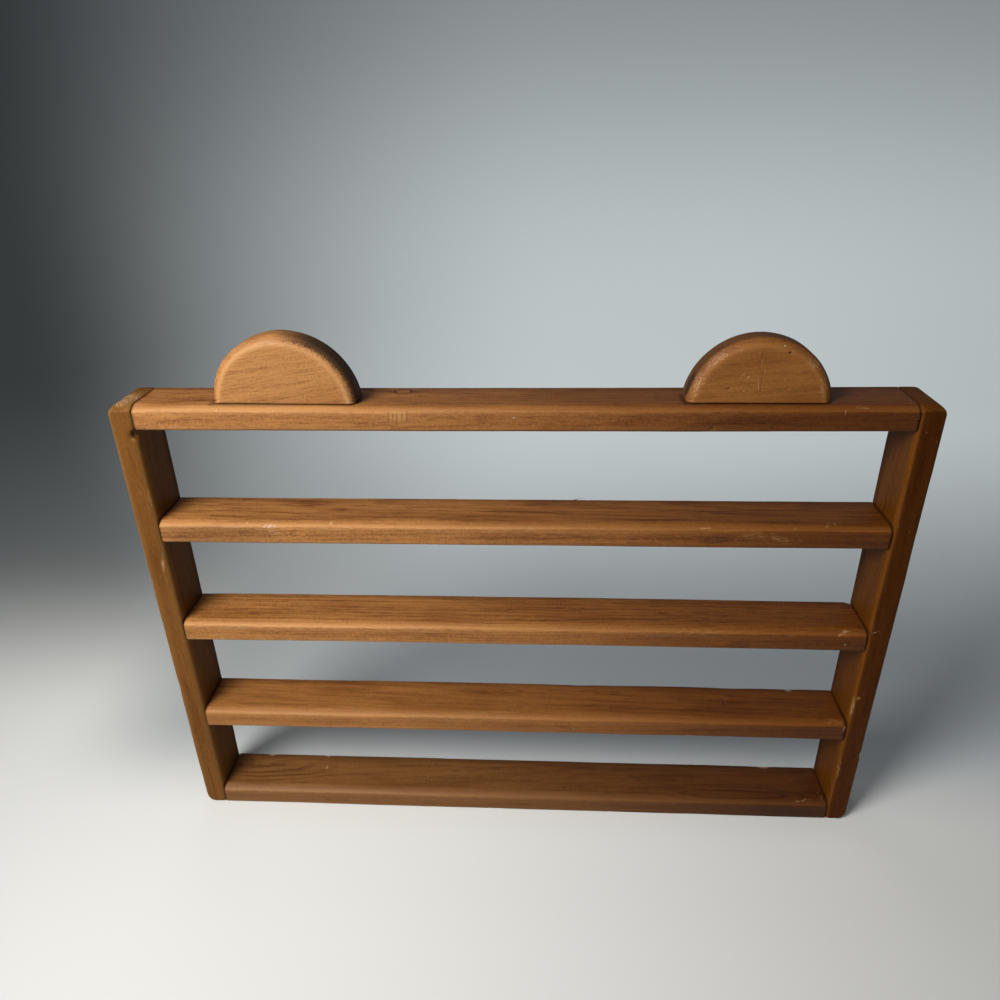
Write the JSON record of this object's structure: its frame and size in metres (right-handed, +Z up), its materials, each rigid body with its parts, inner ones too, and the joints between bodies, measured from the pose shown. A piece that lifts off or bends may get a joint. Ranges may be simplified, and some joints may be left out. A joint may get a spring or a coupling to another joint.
{
  "type": "wall shelf",
  "caption": "Narrow pine wall shelf: open-backed frame of eased boards nailed between two uprights, with half-round ears on its top board and keyhole slots behind.",
  "frame": {"origin": "on the surface that the shelf stands on, in the middle of its width and its depth", "axes": "+X to the right seen from the front, +Y towards the wall, +Z up"},
  "size_m": [0.603, 0.045, 0.4534],
  "materials": {
    "stained_pine_upright": "stained and waxed, worn at the arrises",
    "stained_pine_shelf": "stained and waxed, grain along the board",
    "worn_pine_half_round": "stained, rubbed pale and dirty round the rim",
    "nail_steel": "dull wire nail",
    "screw_brass": "dull wood screw"
  },
  "bodies": {
    "root": {"left_side": "stained_pine_upright", "right_side": "stained_pine_upright", "shelf_1": "stained_pine_shelf", "shelf_2": "stained_pine_shelf", "shelf_3": "stained_pine_shelf", "shelf_4": "stained_pine_shelf", "shelf_5": "stained_pine_shelf", "left_half_round": "worn_pine_half_round", "right_half_round": "worn_pine_half_round", "nail_left_1_front": "nail_steel", "nail_left_1_back": "nail_steel", "nail_left_2_front": "nail_steel", "nail_left_2_back": "nail_steel", "nail_left_3_front": "nail_steel", "nail_left_3_back": "nail_steel", "nail_left_4_front": "nail_steel", "nail_left_4_back": "nail_steel", "nail_left_5_front": "nail_steel", "nail_left_5_back": "nail_steel", "nail_right_1_front": "nail_steel", "nail_right_1_back": "nail_steel", "nail_right_2_front": "nail_steel", "nail_right_2_back": "nail_steel", "nail_right_3_front": "nail_steel", "nail_right_3_back": "nail_steel", "nail_right_4_front": "nail_steel", "nail_right_4_back": "nail_steel", "nail_right_5_front": "nail_steel", "nail_right_5_back": "nail_steel", "screw_left_a": "screw_brass", "screw_left_b": "screw_brass", "screw_right_a": "screw_brass", "screw_right_b": "screw_brass"}
  },
  "joints": []
}
